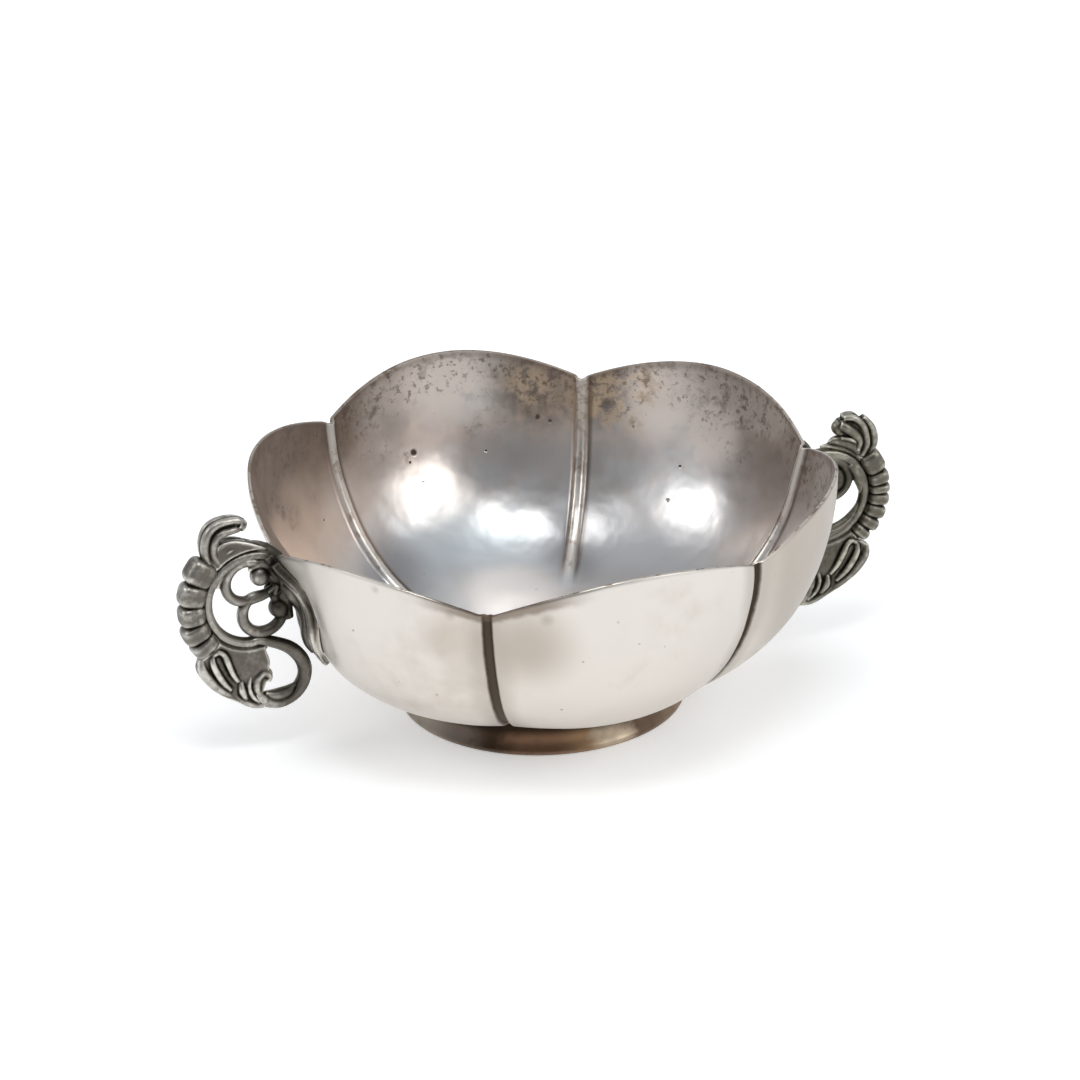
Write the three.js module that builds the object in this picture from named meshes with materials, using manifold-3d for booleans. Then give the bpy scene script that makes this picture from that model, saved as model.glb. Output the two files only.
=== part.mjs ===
// Two-handled silver bowl: six lobes raised from sheet, on a soldered ring foot,
// with a cast and built-up scroll handle on two opposite channels.
// Millimetres, +Z up. The origin is on the foot's axis at the table, +X towards the right handle.
import * as THREE from 'three';
import { mergeVertices } from 'three/addons/utils/BufferGeometryUtils.js';
import Module from 'manifold-3d';

// Bowl, driving sizes
const lobeCount = 6;
const channelRimRadius = 61.6;     // axis to the channel's line at the rim
const channelRimHeight = 48;       // table to the rim at a channel
const lobeBulge = 11.6;            // a lobe stands this far beyond the chord between its channels
const lobeLift = 7.4;              // the rim rises this far from channel to mid lobe
const lobeLiftPower = 4.15;        // how late up the wall the rise begins
const wall = 1.2;
const flatRadius = 21;             // flat round bottom
const flatHeight = 7.5;            // underside of the flat bottom above the table
const bellyPull = 36.2;            // how far the underside runs out before it turns up
const rimPull = 5.4;               // how far below the rim the wall starts to stand upright
const rimInturn = 0.54;            // the wall leans in by this much over the rim pull
const lobesStartRadius = 33;       // bottom is round inside this radius
const lobesFullRadius = 40;
// Uneven hand work, one value for each channel or lobe, anticlockwise from the right handle
const channelTurn = [-1.5, -1, 0, 1.5, -1.5, -2];    // degrees away from an even sixth
const channelReach = [2, 0, -1, 0.2, 1.5, 0];        // mm out at the rim
const channelRise = [0, 1, 1.5, -2.1, 0.5, 1];       // mm up at the rim
const channelDent = [0, 0, 0, 5.8, 0, 0];            // mm pushed in at mid height, under a strap
const lobeSwell = [-0.5, -0.1, -0.7, -0.5, 0.1, 0];  // mm more bulge
const lobeRise = [-0.5, -0.5, 0.5, 0.5, 1, -1];      // mm more lift

const dentFrom = 0.36;             // the dent lies between this share of the wall's line and the rim
const dentAfter = [0.25, 1];       // share of the way from mid lobe to the channel where the dent
const dentBefore = [-0.2, 0.9];    // starts and is full, on the lobes after and before the channel

// Chased channels, which show as ribs inside
const channelWidth = 2.7;
const channelFloorWidth = 1.5;
const channelDepth = 0.9;
const ribHeight = 0.9;
const lipCrown = 0.25;

// Foot ring
const footRadius = 31.8;
const footTopRadius = 30.8;
const footThickness = 1.6;
const footEdgeHeight = 0.9;
const seam = 0.3;                  // solder seam between any two pieces

// Handles. Places are in a handle's own upright plane: out from the axis, and up
const handleChannels = { right: 0, left: 3 };
// Near side and top of the ring's line, out and up from the channel's rim point
const ringPlace = { right: [-7.0, -1.8], left: [-4.7, 1.6] };
const handleTurn = { right: 7.5, left: 0 };          // degrees, top outwards
const ringRadius = 10.4;
const ringWire = 2.6;
const loopRadius = 7.1;
const loopWire = 3.0;
const loopGap = 1.8;               // the loop's circle hangs this far below the ring's
const loopOffset = -5.0;
const curlInset = 2.9;             // the curl's centre lies this far right of and below the loop's
const curlEndRadius = 1.3;
const voluteWire = 1.9;
const ballRadius = 2.3;
const drawnRadius = 10.4;          // outlines of the castings are drawn round a ring of this radius
const petalAngles = [46, 22, 1, -16.5, -29, -42];    // where the crest's petals start and end
const petalLength = { right: 4.2, left: 5.0 };
const petalShoulder = 0.55;        // share of a petal's length below its round end
const crestDepth = 6;
const plumeWidths = [2.6, 5.0];    // at its ends and at its widest
const plumeDepth = 4.2;
const leafDepth = 5.2;
const sheathDepth = 4.2;
const strapThickness = { right: 1.4, left: 2.3 };
const strapTipThickness = 1.5;
const strapWidths = [7, 9.8, 10.2, 6]; // top to tip
const strapTop = 0.96;             // share of the wall's line, 1 at the rim
const strapTip = 0.395;
const behindWall = 12;

const silver = { color: 0xcfc8bf, metalness: 0.95, roughness: 0.34 };
const darkSilver = { color: 0x7d766a, metalness: 0.9, roughness: 0.45 };
const footSilver = { color: 0x8a7c6c, metalness: 0.9, roughness: 0.42 };

const wasm = await Module();
wasm.setup();
const radians = THREE.MathUtils.degToRad;

// Wall of the bowl: the line of a channel from the flat bottom (t = 0) to the rim (t = 1)
const wallLine = new THREE.CubicBezierCurve(
  new THREE.Vector2(flatRadius, flatHeight),
  new THREE.Vector2(flatRadius + bellyPull, flatHeight),
  new THREE.Vector2(channelRimRadius + rimInturn, channelRimHeight - rimPull),
  new THREE.Vector2(channelRimRadius, channelRimHeight),
);

function channelAngle(channel) {
  const index = ((channel % lobeCount) + lobeCount) % lobeCount;
  return radians((360 / lobeCount) * channel + channelTurn[index]);
}

function channelPoint(channel, t) {
  const index = ((channel % lobeCount) + lobeCount) % lobeCount;
  const line = wallLine.getPoint(t);
  const radius = line.x + channelReach[index] * t * t;
  const angle = channelAngle(channel);
  const height = line.y + channelRise[index] * t * t;
  return new THREE.Vector3(radius * Math.cos(angle), radius * Math.sin(angle), height);
}

// Half the chord between a lobe's channels, its bulge and its direction, at one height
function lobeSection(lobe, t) {
  const start = channelPoint(lobe, t);
  const end = channelPoint(lobe + 1, t);
  const startAngle = channelAngle(lobe);
  const endAngle = channelAngle(lobe + 1);
  const radius = wallLine.getPoint(t).x;
  const fade = THREE.MathUtils.smoothstep(radius, lobesStartRadius, lobesFullRadius);
  const roundBulge = radius * (1 - Math.cos((endAngle - startAngle) / 2));
  const fullBulge = ((lobeBulge + lobeSwell[lobe]) * radius) / channelRimRadius;
  const middle = (startAngle + endAngle) / 2;
  return {
    centre: start.clone().add(end).multiplyScalar(0.5),
    half: end.clone().sub(start).multiplyScalar(0.5),
    out: new THREE.Vector3(Math.cos(middle), Math.sin(middle), 0),
    bulge: THREE.MathUtils.lerp(roundBulge, fullBulge, fade),
    lift: (lobeLift + lobeRise[lobe]) * t ** lobeLiftPower,
    fade,
  };
}

// A point of the outside, before the channels are chased; side runs from -1 to 1 across the lobe
function wallPoint(lobe, side, t) {
  const section = lobeSection(lobe, t);
  const arch = 1 - side * side;
  const point = section.centre.addScaledVector(section.half, side);
  point.addScaledVector(section.out, section.bulge * arch);
  point.z += section.lift * arch;
  if (t > dentFrom) {
    const along = Math.sin((Math.PI * (t - dentFrom)) / (1 - dentFrom)) ** 2;
    for (const [channel, near, reach] of [[lobe, -side, dentAfter], [lobe + 1, side, dentBefore]]) {
      const angle = channelAngle(channel);
      const across = THREE.MathUtils.smoothstep(near, ...reach);
      const inward = new THREE.Vector3(-Math.cos(angle), -Math.sin(angle), 0);
      point.addScaledVector(inward, channelDent[channel % lobeCount] * along * across);
    }
  }
  return point;
}

function wallNormal(lobe, side, t) {
  const step = 1e-3;
  const low = Math.max(t - step, 0);
  const high = Math.min(t + step, 1);
  const along = wallPoint(lobe, side, high).sub(wallPoint(lobe, side, low));
  let across;
  if (Math.abs(side) === 1) {
    const angle = channelAngle(side < 0 ? lobe : lobe + 1);
    across = new THREE.Vector3(-Math.sin(angle), Math.cos(angle), 0);
  } else {
    across = wallPoint(lobe, side + step, t).sub(wallPoint(lobe, side - step, t));
  }
  return across.cross(along).normalize();
}

// The side value that lies a true distance away from a lobe's channel
function sideAt(lobe, distance, t) {
  const section = lobeSection(lobe, t);
  return 1 - distance / Math.hypot(section.half.length(), 2 * section.bulge);
}

// A closed solid from rings of equally many points, its first and last ring closed by a fan
function skin(rings, firstPole, lastPole) {
  const count = rings[0].length;
  const vertices = rings.flat();
  const first = vertices.push(firstPole) - 1;
  const last = vertices.push(lastPole) - 1;
  const faces = [];
  for (let column = 0; column < count; column += 1) {
    const next = (column + 1) % count;
    faces.push(first, next, column);
    for (let ring = 0; ring + 1 < rings.length; ring += 1) {
      const base = ring * count;
      const above = base + count;
      faces.push(base + column, base + next, above + next);
      faces.push(base + column, above + next, above + column);
    }
    const top = (rings.length - 1) * count;
    faces.push(top + column, top + next, last);
  }
  const geometry = new THREE.BufferGeometry().setFromPoints(vertices);
  geometry.setIndex(faces);
  return geometry;
}

// Bowl shell, one raised sheet
function bowlGeometry() {
  const plainColumns = 7;
  const rows = [
    0, 0.06, 0.11, 0.15, 0.19, 0.24, 0.31, 0.38, 0.45, 0.52, 0.59, 0.66, 0.73, 0.8, 0.87, 0.94, 1,
  ];
  const distances = [0, channelFloorWidth / 2, channelWidth / 2];
  const chased = [1, 0.85, 0];       // share of the channel's depth at those distances

  function columns(t) {
    const list = [];
    for (let lobe = 0; lobe < lobeCount; lobe += 1) {
      const edges = distances.map((distance) => sideAt(lobe, distance, t));
      edges.forEach((edge, index) => list.push({ lobe, side: -edge, share: chased[index] }));
      const edge = edges[edges.length - 1];
      for (let step = 1; step <= plainColumns; step += 1) {
        list.push({ lobe, side: -edge + (2 * edge * step) / (plainColumns + 1), share: 0 });
      }
      list.push({ lobe, side: edges[2], share: chased[2] });
      list.push({ lobe, side: edges[1], share: chased[1] });
    }
    return list;
  }

  function ring(t, depthAt) {
    return columns(t).map(({ lobe, side, share }) => {
      const fade = lobeSection(lobe, t).fade;
      const normal = wallNormal(lobe, side, t);
      return wallPoint(lobe, side, t).addScaledVector(normal, -depthAt(share * fade));
    });
  }

  const outside = rows.map((t) => ring(t, (share) => channelDepth * share));
  const inside = rows.map((t) => ring(t, (share) => wall + ribHeight * share)).reverse();
  const lip = outside[outside.length - 1].map((point, index) => {
    const crest = point.clone().add(inside[0][index]).multiplyScalar(0.5);
    crest.z += lipCrown;
    return crest;
  });
  const under = new THREE.Vector3(0, 0, flatHeight);
  const floor = new THREE.Vector3(0, 0, flatHeight + wall);
  return skin([...outside, lip, ...inside], under, floor);
}

// Height of the round underside at a radius inside the lobes' start
function undersideHeight(radius) {
  let low = 0;
  let high = 1;
  for (let pass = 0; pass < 40; pass += 1) {
    const middle = (low + high) / 2;
    if (wallLine.getPoint(middle).x < radius) low = middle;
    else high = middle;
  }
  return wallLine.getPoint(low).y;
}

// Foot ring, a strip bent round, soldered at its top edge to the underside
function footGeometry() {
  const topInner = footTopRadius - footThickness;
  const corners = [
    [footRadius - footThickness, 0],
    [footRadius, 0],
    [footRadius, footEdgeHeight],
    [footTopRadius, undersideHeight(footTopRadius) - seam],
    [topInner, undersideHeight(topInner) - seam],
    [footRadius - footThickness, 0],
  ];
  return new THREE.LatheGeometry(corners.map(([r, z]) => new THREE.Vector2(r, z)), 72)
    .rotateX(Math.PI / 2);
}

// Solids for joining and cutting
function toSolid(geometry) {
  const bare = geometry.clone();
  bare.deleteAttribute('normal');
  bare.deleteAttribute('uv');
  const merged = mergeVertices(bare, 1e-4);
  return new wasm.Manifold(new wasm.Mesh({
    numProp: 3,
    vertProperties: new Float32Array(merged.attributes.position.array),
    triVerts: new Uint32Array(merged.index.array),
  }));
}

function toGeometry(solid) {
  const { vertProperties, triVerts } = solid.getMesh();
  const geometry = new THREE.BufferGeometry();
  geometry.setAttribute('position', new THREE.BufferAttribute(vertProperties.slice(), 3));
  geometry.setIndex(new THREE.BufferAttribute(triVerts.slice(), 1));
  return geometry;
}

// A bar of oval section along a line in the handle's plane, round at both ends
function barSolid(line, widthAt, depth, { sides = 8, grow = 0 } = {}) {
  const last = line.length - 1;
  const direction = (index) => {
    const before = line[Math.max(index - 1, 0)];
    const after = line[Math.min(index + 1, last)];
    return after.clone().sub(before).normalize();
  };
  const rings = line.map((point, index) => {
    const along = direction(index);
    const across = new THREE.Vector2(along.y, -along.x);
    const halfWidth = widthAt(index / last) / 2 + grow;
    const halfDepth = (depth * widthAt(index / last)) / widthAt(0.5) / 2 + grow;
    return Array.from({ length: sides }, (_, side) => {
      const angle = (2 * Math.PI * (side + 0.5)) / sides;
      const place = point.clone().addScaledVector(across, halfWidth * Math.cos(angle));
      return new THREE.Vector3(place.x, halfDepth * Math.sin(angle), place.y);
    });
  });
  const tip = (index, way) => {
    const reach = widthAt(index / last) / 3 + grow;
    const place = line[index].clone().addScaledVector(direction(index), way * reach);
    return new THREE.Vector3(place.x, 0, place.y);
  };
  return toSolid(skin(rings, tip(0, -1), tip(last, 1)));
}

// A plate cut to an outline in the handle's plane
function plateSolid(outline, depth) {
  const shape = new THREE.Shape(outline);
  const geometry = new THREE.ExtrudeGeometry(shape, { depth, bevelEnabled: false });
  geometry.translate(0, 0, -depth / 2);
  geometry.rotateX(Math.PI / 2);
  return toSolid(geometry);
}

function arc([x, z], radius, fromDegrees, toDegrees, steps, endRadius = radius) {
  return Array.from({ length: steps + 1 }, (_, index) => {
    const share = index / steps;
    const angle = radians(THREE.MathUtils.lerp(fromDegrees, toDegrees, share));
    const reach = THREE.MathUtils.lerp(radius, endRadius, share);
    return new THREE.Vector2(x + reach * Math.cos(angle), z + reach * Math.sin(angle));
  });
}

function smoothLine(points, steps) {
  return new THREE.SplineCurve(points).getSpacedPoints(steps);
}

// Castings of a handle, drawn round the centre of its ring: sideways out, and up
const ringOuter = ringRadius + ringWire / 2;
const drawnScale = ringRadius / drawnRadius;
const loopCentre = [loopOffset * drawnScale, -(ringRadius + loopRadius + loopGap)];
const curlCentre = [loopCentre[0] + curlInset, loopCentre[1] - curlInset];
const curlRadius = loopRadius - curlInset;

function drawn(points) {
  return points.map(([x, z]) => new THREE.Vector2(x, z).multiplyScalar(drawnScale));
}

function drawnArc([x, z], radius, fromDegrees, toDegrees, steps, endRadius = radius) {
  const line = arc([x, z], radius, fromDegrees, toDegrees, steps, endRadius);
  return line.map((point) => point.multiplyScalar(drawnScale));
}

// S-scroll: three quarters of the ring, then the loop below it and the curl inside the loop
function scrollSolid(grow) {
  const line = [
    ...drawn([[-6.4, 8.4]]),
    ...arc([0, 0], ringRadius, 112, -98, 12),
    ...arc(loopCentre, loopRadius, 118, 268, 8),
    ...arc(curlCentre, curlRadius, -72, 190, 7, curlEndRadius),
  ];
  const loopStart = 0.45;
  const width = (share) => {
    const swell = Math.sin(Math.PI * THREE.MathUtils.smoothstep(share, loopStart, 1));
    return THREE.MathUtils.lerp(ringWire, loopWire, swell);
  };
  return barSolid(smoothLine(line, 54), width, ringWire, { grow });
}

// Two curls inside the ring, each ending in a ball on a short stalk
function voluteSolid(grow) {
  const upper = [...drawnArc([1.0, 3.9], 5.0, 150, -95, 8, 4.2), ...drawn([[-2.4, 0.1], [-4.4, 1.0]])];
  const lower = [...drawn([[-3.6, 0.5]]), ...drawnArc([-2.5, -4.2], 4.7, 62, -165, 8, 5.0)];
  const balls = drawn([[-2.2, 4.3], [-4.6, -3.0]]);
  const roots = drawn([[-3.4, 6.4], [-3.9, 0.4]]);
  const bar = (line) => barSolid(line, () => voluteWire, voluteWire, { grow });
  const ends = balls.flatMap((ball, index) => [
    toSolid(new THREE.SphereGeometry(ballRadius + grow, 12, 8)).translate([ball.x, 0, ball.y]),
    bar([ball, ball.clone().lerp(roots[index], 0.5), roots[index]]),
  ]);
  return [bar(smoothLine(upper, 20)), bar(smoothLine(lower, 18)), ...ends]
    .reduce((whole, piece) => whole.add(piece));
}

// Crest of petals round the outside of the ring
function crestSolid(side) {
  const inner = ringOuter + seam;
  const centre = inner + petalLength[side] * petalShoulder;
  const outline = [];
  for (let petal = 0; petal + 1 < petalAngles.length; petal += 1) {
    const from = petalAngles[petal];
    const to = petalAngles[petal + 1];
    const middle = (from + to) / 2;
    const halfWidth = (centre * radians(from - to)) / 2;
    const stretch = (petalLength[side] * (1 - petalShoulder)) / halfWidth;
    const [place] = arc([0, 0], centre, middle, middle, 1);
    arc([0, 0], halfWidth, 84, -84, 6).forEach((point) => {
      const turned = new THREE.Vector2(point.x * stretch, point.y);
      turned.rotateAround(new THREE.Vector2(), radians(middle));
      outline.push(turned.add(place));
    });
  }
  const last = petalAngles[petalAngles.length - 1];
  const back = arc([0, 0], inner, last + 1, petalAngles[0] - 1, 9);
  return plateSolid([...outline, ...back], crestDepth);
}

// Curled leaf on top of the ring
function plumeSolid(grow) {
  const line = drawn([
    [9.6, 10.6], [10.3, 14.0], [9.2, 17.2], [6.4, 18.7], [3.4, 18.2], [2.1, 16.9],
  ]);
  const width = (share) => THREE.MathUtils.lerp(...plumeWidths, Math.sin(Math.PI * share ** 0.8));
  return barSolid(smoothLine(line, 14), width, plumeDepth, { grow });
}

// Small leaf between the ring and the curled leaf
function sheathSolid() {
  const top = drawn([[9.4, 11.2], [7.6, 14.6], [3.6, 14.9], [0, 13.6], [-3.4, 11.9]]);
  const back = arc([0, 0], ringOuter + seam, 106, 52, 6);
  return plateSolid([...smoothLine(top, 9), ...back], sheathDepth);
}

// Acanthus leaf below the ring, behind the loop
function leafSolid() {
  const back = arc([0, 0], ringOuter + seam, -101, -47, 6);
  const edge = drawn([
    [9.6, -10.6], [13.0, -12.2], [13.2, -14.6], [11.2, -18.2], [8.4, -21.4], [4.2, -24.2],
    [0.2, -25.9], [-1.6, -22.0], [-3.0, -17.5], [-2.6, -13.4],
  ]);
  return plateSolid([...back, ...smoothLine(edge, 20)], leafDepth);
}

// A plate that lies on the outside of the wall over a channel, from one share of the wall's
// line to another; back and front are heights above the wall, and the front's sides are eased
function platedWall(channel, { from, to, widthAt, back, frontAt, ease = 0 }) {
  const steps = 18;
  const shares = [-1, -0.5, 0, 0.5, 1];
  const rings = Array.from({ length: steps + 1 }, (_, step) => {
    const t = THREE.MathUtils.lerp(from, to, step / steps);
    const onWall = shares.map((side) => {
      const lobe = side < 0 ? (channel + lobeCount - 1) % lobeCount : channel;
      const inset = sideAt(lobe, (Math.abs(side) * widthAt(step / steps)) / 2, t);
      const place = side < 0 ? inset : -inset;
      return { point: wallPoint(lobe, place, t), normal: wallNormal(lobe, place, t), side };
    });
    const raise = (height, eased) => onWall.map(({ point, normal, side }) => (
      point.clone().addScaledVector(normal, height - (Math.abs(side) === 1 ? eased : 0))
    ));
    return [...raise(back, 0), ...raise(frontAt(step / steps), ease).reverse()];
  });
  const middle = (ring) => ring
    .reduce((sum, point) => sum.add(point), new THREE.Vector3())
    .multiplyScalar(1 / ring.length);
  const solid = toSolid(skin(rings, middle(rings[0]), middle(rings[rings.length - 1])));
  return solid.rotate([0, 0, -THREE.MathUtils.radToDeg(channelAngle(channel))]);
}

// Mount strap, a leaf-shaped plate soldered over the channel
function strapSolid(side, grow = 0) {
  const outline = new THREE.CubicBezierCurve(
    ...strapWidths.map((width, index) => new THREE.Vector2(index / 3, width)),
  );
  const thickness = (share) => (
    THREE.MathUtils.lerp(strapThickness[side], strapTipThickness, share ** 2)
  );
  return platedWall(handleChannels[side], {
    from: strapTop + grow / channelRimHeight,
    to: strapTip - grow / channelRimHeight,
    widthAt: (share) => outline.getPoint(share).y + 2 * grow,
    back: seam - grow,
    frontAt: (share) => seam + thickness(share) + grow,
    ease: 0.4,
  });
}

// The room of the wall behind the strap, which trims the ends of the castings
function wallRoom(channel) {
  return platedWall(channel, {
    from: 1,
    to: 0.25,
    widthAt: () => 2 * Math.max(...strapWidths),
    back: -behindWall,
    frontAt: () => seam,
  });
}

// One handle: its pieces in its own upright plane, turned to its channel
function handle(side) {
  const channel = handleChannels[side];
  const rim = channelPoint(channel, 1);
  const rimRadius = Math.hypot(rim.x, rim.y);
  const [nearSide, top] = ringPlace[side];
  const place = (solid) => solid
    .rotate([0, handleTurn[side], 0])
    .translate([rimRadius + nearSide + ringRadius, 0, rim.z + top - ringRadius]);

  const trim = wallRoom(channel).add(strapSolid(side, seam));
  const scrollRoom = place(scrollSolid(seam));
  const plumeRoom = place(plumeSolid(seam));
  const pieces = {
    mount_strap: strapSolid(side),
    main_scroll: place(scrollSolid(0)).subtract(trim),
    double_volute: place(voluteSolid(0)).subtract(scrollRoom).subtract(trim),
    petal_crest: place(crestSolid(side)).subtract(scrollRoom).subtract(plumeRoom),
    plume: place(plumeSolid(0)).subtract(scrollRoom),
    plume_sheath: place(sheathSolid()).subtract(scrollRoom).subtract(plumeRoom).subtract(trim),
    acanthus_leaf: place(leafSolid()).subtract(scrollRoom),
  };

  const group = new THREE.Group();
  group.rotation.z = channelAngle(channel);
  for (const [name, solid] of Object.entries(pieces)) {
    const mesh = new THREE.Mesh(toGeometry(solid), new THREE.MeshStandardMaterial(darkSilver));
    mesh.name = `${side}_${name}`;
    group.add(mesh);
  }
  return group;
}

const object = new THREE.Group();
const bowl = new THREE.Mesh(bowlGeometry(), new THREE.MeshStandardMaterial(silver));
bowl.name = 'bowl_shell';
const foot = new THREE.Mesh(footGeometry(), new THREE.MeshStandardMaterial(footSilver));
foot.name = 'foot_ring';
object.add(bowl, foot, handle('right'), handle('left'));

export default object;
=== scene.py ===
# Two-handled bowl of lobed silver: one raised sheet, a soldered ring foot and two cast scroll
# handles. Metres, +Z up, in the same frame as the solids. The photograph looks at it from the
# front left and from above.
import math
import bmesh
import bpy
import numpy as np
from mathutils import Matrix, Vector
from mathutils.bvhtree import BVHTree


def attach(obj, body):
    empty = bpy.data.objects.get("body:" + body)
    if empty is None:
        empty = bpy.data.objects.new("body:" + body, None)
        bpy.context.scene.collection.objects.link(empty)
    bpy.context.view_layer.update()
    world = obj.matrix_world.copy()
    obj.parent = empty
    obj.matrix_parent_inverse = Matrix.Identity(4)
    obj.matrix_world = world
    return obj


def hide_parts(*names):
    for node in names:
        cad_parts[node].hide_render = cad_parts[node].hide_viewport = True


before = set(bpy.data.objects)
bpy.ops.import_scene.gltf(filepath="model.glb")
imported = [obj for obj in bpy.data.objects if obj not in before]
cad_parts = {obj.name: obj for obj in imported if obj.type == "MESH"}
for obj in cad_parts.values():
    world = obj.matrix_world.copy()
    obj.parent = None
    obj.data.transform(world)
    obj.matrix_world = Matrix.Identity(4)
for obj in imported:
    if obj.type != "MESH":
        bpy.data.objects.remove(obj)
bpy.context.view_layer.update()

mm = 0.001

# Camera. It stands where the photographer stood, fitted to the rim's cusps, the chased
# channels and the edge of the foot.
camera_azimuth, camera_elevation = -21.079, 25.546
camera_distance, camera_roll = 1369.2 * mm, math.radians(-1.259)
aim_height, aim_right, aim_up = 25 * mm, 0.219 * mm, 10.906 * mm


def way_to(azimuth, elevation):
    """The way out to a place round the bowl, in degrees from the front and above the floor."""
    a, e = math.radians(azimuth), math.radians(elevation)
    return Vector((math.sin(a) * math.cos(e), -math.cos(a) * math.cos(e), math.sin(e)))


def put(name, data):
    thing = bpy.data.objects.new(name, data)
    bpy.context.collection.objects.link(thing)
    return thing


camera_back = way_to(camera_azimuth, camera_elevation)
turned = math.radians(camera_azimuth)
level_right = Vector((math.cos(turned), math.sin(turned), 0))
level_up = camera_back.cross(level_right)
rolled_right = math.cos(camera_roll) * level_right + math.sin(camera_roll) * level_up
rolled_up = camera_back.cross(rolled_right)
camera = put("camera", bpy.data.cameras.new("camera"))
camera.data.sensor_width = 36
camera.data.lens = 206.77
camera.data.clip_start, camera.data.clip_end = 0.05, 50
camera.location = (
    Vector((0, 0, aim_height)) + camera_back * camera_distance
    + level_right * aim_right + level_up * aim_up
)
camera.rotation_mode = "QUATERNION"
camera_axes = Matrix((rolled_right, rolled_up, camera_back)).transposed()
camera.rotation_quaternion = camera_axes.to_quaternion()
bpy.context.scene.camera = camera
bpy.context.scene.view_settings.view_transform = "Standard"


# Studio. A white sweep in a dim room: a soft box in front right, one on the left, one overhead
# and the lit wall behind. They are what shines in the lobes. The room between them is grey, and
# darker where the photographer stands.
def mesh_of(name, points, edges=(), faces=()):
    mesh = bpy.data.meshes.new(name)
    mesh.from_pydata(points, edges, faces)
    return mesh


floor_half = 4.0
corners = ((-1, -1), (1, -1), (1, 1), (-1, 1))
floor_mesh = mesh_of(
    "floor", [(x * floor_half, y * floor_half, 0) for x, y in corners], faces=[(0, 1, 2, 3)])
floor = put("floor", floor_mesh)
paper = bpy.data.materials.new("paper_white")
paper.use_nodes = True
paper_shader = paper.node_tree.nodes["Principled BSDF"]
for entry, value in (
    ("Base Color", (0.93, 0.93, 0.93, 1)), ("Roughness", 0.9), ("Specular IOR Level", 0.1),
    ("Emission Color", (1, 1, 1, 1)), ("Emission Strength", 0.32),
):
    paper_shader.inputs[entry].default_value = value
floor_mesh.materials.append(paper)


class Term:
    """A value inside a node tree, so that a formula can be written as one."""

    def __init__(self, socket):
        self.socket = socket

    def work(self, operation, *others):
        values = (self, *others)
        kind = "ShaderNodeVectorMath" if any(map(is_vector, values)) else "ShaderNodeMath"
        node = self.socket.id_data.nodes.new(kind)
        node.operation = operation
        sockets = node.inputs
        if operation == "SCALE":
            sockets = [node.inputs["Vector"], node.inputs["Scale"]]
        for value, socket in zip(values, sockets):
            feed(value, socket)
        return Term(node.outputs[1 if operation in ("LENGTH", "DOT_PRODUCT") else 0])

    def __add__(self, other):
        return self.work("ADD", other)

    __radd__ = __add__

    def __sub__(self, other):
        return self.work("SUBTRACT", other)

    def __rsub__(self, other):
        return (self * -1) + other

    def __mul__(self, other):
        scaled = is_vector(self) and not is_vector(other)
        return self.work("SCALE" if scaled else "MULTIPLY", other)

    __rmul__ = __mul__

    def __truediv__(self, other):
        return self.work("DIVIDE", other)

    def __pow__(self, other):
        return self.work("POWER", other)


def is_vector(value):
    return value.socket.type == "VECTOR" if isinstance(value, Term) else isinstance(value, tuple)


def feed(value, socket):
    if isinstance(value, Term):
        socket.id_data.links.new(value.socket, socket)
    else:
        socket.default_value = value


def add_node(tree, kind, inputs=(), out=0, **settings):
    """Puts a node into a tree, sets it up, and gives one of its outputs."""
    node = tree.nodes.new(kind)
    for name, value in settings.items():
        setattr(node, name, value)
    for name, value in dict(inputs).items():
        feed(value, node.inputs[name])
    return Term(node.outputs[out])


def between(value, low, high, start=0.0, end=1.0, kind="SMOOTHSTEP"):
    """Runs from start to end while the value goes from low to high."""
    return add_node(value.socket.id_data, "ShaderNodeMapRange", {
        "Value": value, "From Min": low, "From Max": high, "To Min": start, "To Max": end,
    }, interpolation_type=kind)


world = bpy.data.worlds.new("room")
bpy.context.scene.world = world
world.use_nodes = True
room = world.node_tree
room_light = room.nodes["Background"]
room_light.inputs["Color"].default_value = (0.90, 0.94, 1.0, 1)
camera_side = add_node(room, "ShaderNodeTexCoord").work("DOT_PRODUCT", (-0.32, -0.84, 0.43))
feed(between(camera_side, 0.72, 0.96, 0.62, 0.22), room_light.inputs["Strength"])
room_seen = add_node(room, "ShaderNodeBackground", {"Color": (0.97, 0.97, 0.97, 1)})
room_mix = add_node(room, "ShaderNodeMixShader", {
    0: add_node(room, "ShaderNodeLightPath"), 1: Term(room_light.outputs[0]), 2: room_seen})
feed(room_mix, room.nodes["World Output"].inputs[0])

for box_name, azimuth, elevation, distance, width, height, power, colour in (
    ("box_front_right", 42, 33, 1.8, 1.05, 0.85, 7.5, (1, 0.985, 0.96)),
    ("box_left", -102, 36, 1.8, 0.80, 0.60, 5.0, (1, 0.985, 0.96)),
    ("box_overhead", -18, 71, 1.7, 0.66, 0.46, 5.5, (0.96, 0.985, 1)),
    ("wall_behind", 155, 42, 2.2, 2.4, 1.1, 4.5, (1, 1, 1)),
):
    light = bpy.data.lights.new(box_name, "AREA")
    light.shape, light.size, light.size_y = "RECTANGLE", width, height
    light.energy, light.color = power, colour
    soft_box = put(box_name, light)
    way = way_to(azimuth, elevation)
    soft_box.location = way * distance
    soft_box.rotation_mode = "QUATERNION"
    soft_box.rotation_quaternion = way.to_track_quat("Z", "Y")
    soft_box.visible_camera = False


# Bowl. One sheet of silver, raised by hammer into six lobes, with a chased channel between
# each two that stands up as a rib inside. Every lobe and channel is a little uneven.
def fading(value, low, high):
    return between(value, low, high, 1.0, 0.0)


def noise(place, scale, detail, roughness=0.5):
    return add_node(place.socket.id_data, "ShaderNodeTexNoise", {
        "Vector": place, "Scale": scale, "Detail": detail, "Roughness": roughness})


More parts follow.
